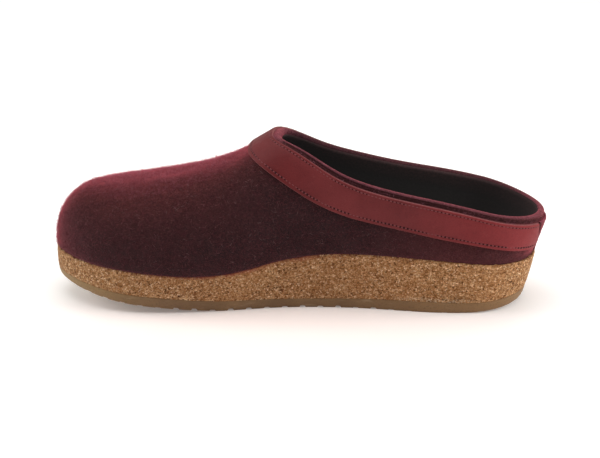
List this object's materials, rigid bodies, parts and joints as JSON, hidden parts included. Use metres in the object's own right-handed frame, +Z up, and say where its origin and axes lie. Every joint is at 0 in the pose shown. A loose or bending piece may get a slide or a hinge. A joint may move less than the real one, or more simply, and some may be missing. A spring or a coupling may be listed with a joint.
{
  "type": "felt slipper",
  "caption": "Backed felt slipper for a right foot: hollow wool upper with a leather collar band on a cork midsole with a raised arch, over a grooved rubber outsole.",
  "frame": {"origin": "centre of the bounding box's footprint, on the floor", "axes": "-X towards the toe and +X towards the heel, -Y towards the inner side of the foot, +Z up"},
  "size_m": [0.2794, 0.0992, 0.0951],
  "materials": {
    "outsole": "matte",
    "cork_midsole": "matte granulated cork",
    "insole": "felt",
    "upper": "boiled wool felt",
    "collar_band": "smooth, slightly glossy",
    "heel_strip": "felt"
  },
  "bodies": {
    "root": {"outsole": "outsole", "cork_midsole": "cork_midsole", "insole": "insole", "upper": "upper", "collar_band": "collar_band", "heel_strip": "heel_strip"}
  },
  "joints": []
}
